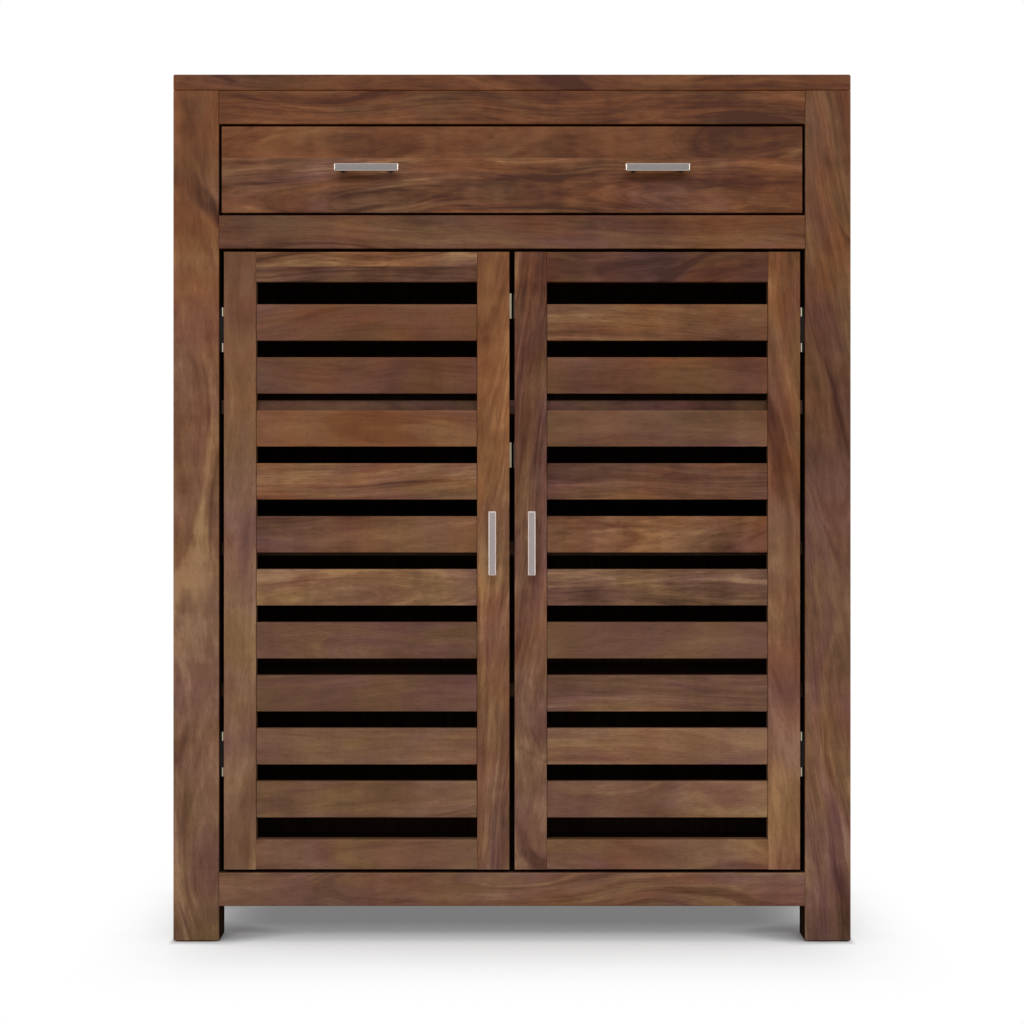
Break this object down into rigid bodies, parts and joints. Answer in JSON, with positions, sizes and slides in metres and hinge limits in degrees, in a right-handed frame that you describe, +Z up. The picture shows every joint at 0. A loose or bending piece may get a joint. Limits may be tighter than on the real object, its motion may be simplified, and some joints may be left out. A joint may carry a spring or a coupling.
{
  "type": "louvred door cabinet",
  "caption": "Upright wooden cupboard on square legs: a wide inset drawer with bar pulls over a pair of inset doors with flat horizontal slats, shelves inside.",
  "frame": {"origin": "middle of the footprint, on the floor, measured over the carcass and the pulls", "axes": "+Z up, doors and drawer face -Y, +X to the right of someone who looks at the doors"},
  "size_m": [0.914, 0.425, 1.17],
  "materials": {
    "oiled_wood": "oiled dark hardwood, satin",
    "inner_wood": "dark stained boards, matt",
    "pull_metal": "brushed, satin nickel",
    "hinge_metal": "warm satin nickel",
    "screw_steel": "zinc plated",
    "glide_plastic": "black nylon"
  },
  "bodies": {
    "cabinet": {"back_panel": "inner_wood", "bottom_board": "inner_wood", "drawer_kickers": "inner_wood", "drawer_stops": "inner_wood", "floor_glides": "glide_plastic", "front_bottom_rail": "oiled_wood", "front_left_post": "oiled_wood", "front_middle_rail": "oiled_wood", "front_right_post": "oiled_wood", "front_top_rail": "oiled_wood", "hinge_pins": "hinge_metal", "hinge_post_screws": "screw_steel", "left_bottom_rail": "oiled_wood", "left_drawer_runner": "inner_wood", "left_hinge_post_leaves": "hinge_metal", "left_shelf_cleats": "inner_wood", "left_side_panel": "oiled_wood", "left_top_rail": "oiled_wood", "lower_shelf": "inner_wood", "middle_shelf": "inner_wood", "rear_bottom_rail": "oiled_wood", "rear_left_post": "oiled_wood", "rear_right_post": "oiled_wood", "rear_top_rail": "oiled_wood", "right_bottom_rail": "oiled_wood", "right_drawer_runner": "inner_wood", "right_hinge_post_leaves": "hinge_metal", "right_shelf_cleats": "inner_wood", "right_side_panel": "oiled_wood", "right_top_rail": "oiled_wood", "top_board": "oiled_wood", "upper_shelf": "inner_wood"},
    "drawer": {"drawer_back": "inner_wood", "drawer_bottom": "inner_wood", "drawer_front": "oiled_wood", "drawer_left_pull": "pull_metal", "drawer_left_side": "inner_wood", "drawer_pull_bolts": "screw_steel", "drawer_right_pull": "pull_metal", "drawer_right_side": "inner_wood"},
    "left_door": {"left_door_bottom_rail": "oiled_wood", "left_door_edge_plates": "hinge_metal", "left_door_hinge_stile": "oiled_wood", "left_door_meeting_stile": "oiled_wood", "left_door_pull": "pull_metal", "left_door_pull_bolts": "screw_steel", "left_door_screws": "screw_steel", "left_door_slats": "oiled_wood", "left_door_top_rail": "oiled_wood", "left_hinge_door_leaves": "hinge_metal"},
    "right_door": {"right_door_bottom_rail": "oiled_wood", "right_door_edge_plates": "hinge_metal", "right_door_hinge_stile": "oiled_wood", "right_door_meeting_stile": "oiled_wood", "right_door_pull": "pull_metal", "right_door_pull_bolts": "screw_steel", "right_door_screws": "screw_steel", "right_door_slats": "oiled_wood", "right_door_top_rail": "oiled_wood", "right_hinge_door_leaves": "hinge_metal"}
  },
  "joints": [
    {"name": "drawer_slide", "type": "slide", "parent": "cabinet", "child": "drawer", "axis": [0, -1, 0], "range_m": [0, 0.28]},
    {"name": "left_door_hinge", "type": "hinge", "parent": "cabinet", "child": "left_door", "pos_m": [-0.3904, -0.1851, 0.514], "axis": [0, 0, -1], "range_deg": [0, 110]},
    {"name": "right_door_hinge", "type": "hinge", "parent": "cabinet", "child": "right_door", "pos_m": [0.3904, -0.1851, 0.514], "axis": [0, 0, 1], "range_deg": [0, 110]}
  ]
}
